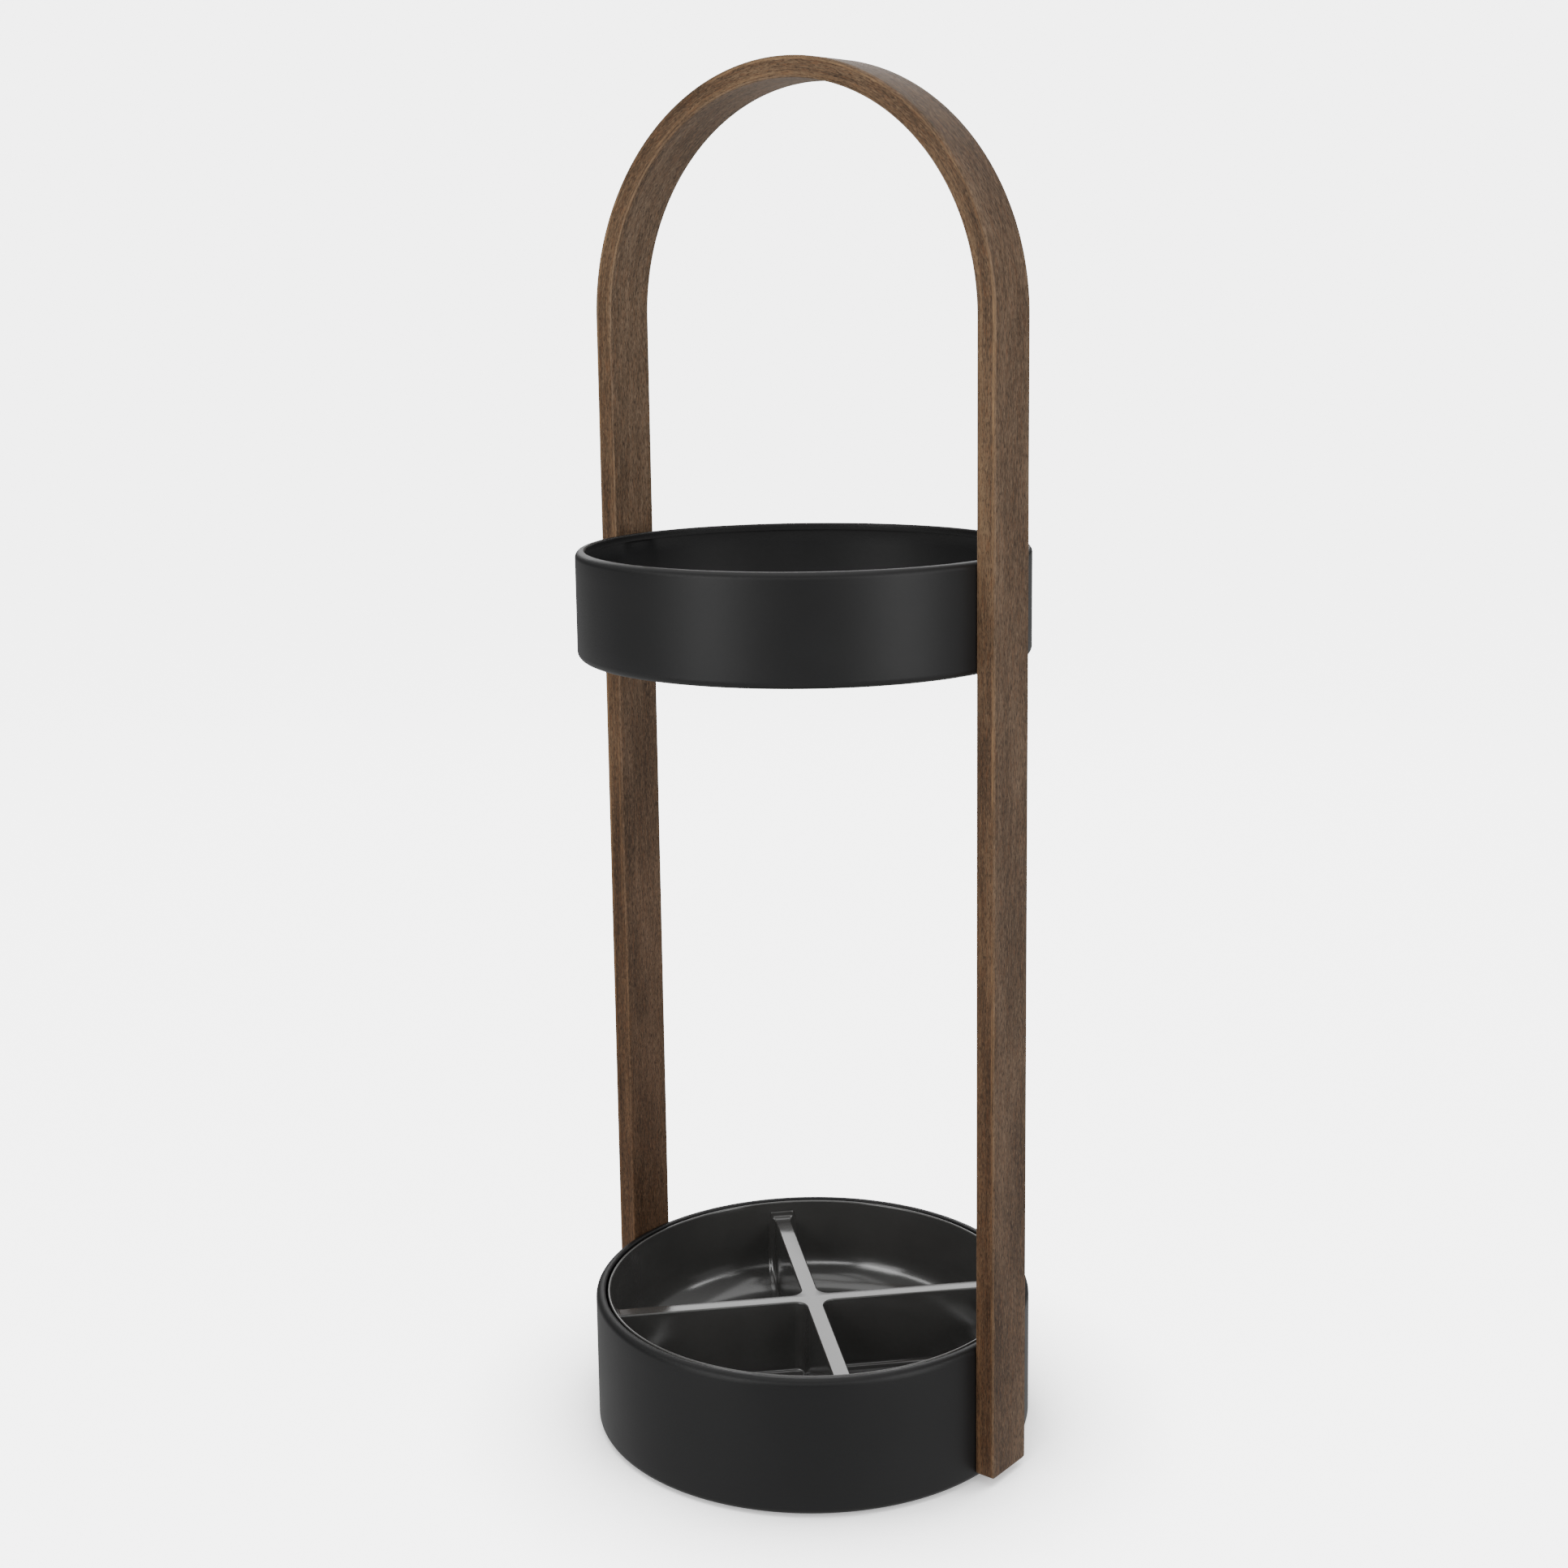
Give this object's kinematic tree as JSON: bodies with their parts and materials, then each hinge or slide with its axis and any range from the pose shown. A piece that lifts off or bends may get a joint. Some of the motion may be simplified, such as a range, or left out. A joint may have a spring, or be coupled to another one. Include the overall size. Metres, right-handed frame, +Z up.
{
  "type": "umbrella stand",
  "caption": "Umbrella stand: a bentwood walnut arch carrying an open satin-black ring at mid height and a weighted round base with a lift-out drip tray divided by a cross.",
  "frame": {"origin": "on the floor under the middle of the base", "axes": "+X from leg to leg in the plane of the arch, +Y across the arch to the back, +Z up"},
  "size_m": [0.271, 0.25, 0.765],
  "materials": {
    "walnut_core": "satin",
    "walnut_veneer": "satin",
    "satin_black_shell": "satin",
    "tray_plastic": "semi-gloss",
    "black_steel": "black oxide",
    "zinc_steel": "zinc plated",
    "brass": "turned",
    "ballast_steel": "rolled",
    "foot_rubber": "matte"
  },
  "bodies": {
    "stand": {"arch_core": "walnut_core", "arch_outer_veneer": "walnut_veneer", "arch_inner_veneer": "walnut_veneer", "upper_ring": "satin_black_shell", "ring_screws": "black_steel", "ring_washers": "black_steel", "ring_inserts": "brass", "base_shell": "satin_black_shell", "base_screws": "black_steel", "base_washers": "black_steel", "base_inserts": "brass", "ballast_plate": "ballast_steel", "ballast_screws": "zinc_steel", "foot_pad_1": "foot_rubber", "foot_pad_2": "foot_rubber", "foot_pad_3": "foot_rubber", "foot_pad_4": "foot_rubber"},
    "drip_tray": {"drip_tray": "tray_plastic"}
  },
  "joints": [
    {"name": "tray_lift", "type": "slide", "parent": "stand", "child": "drip_tray", "axis": [0, 0, 1], "range_m": [0, 0.11]}
  ]
}
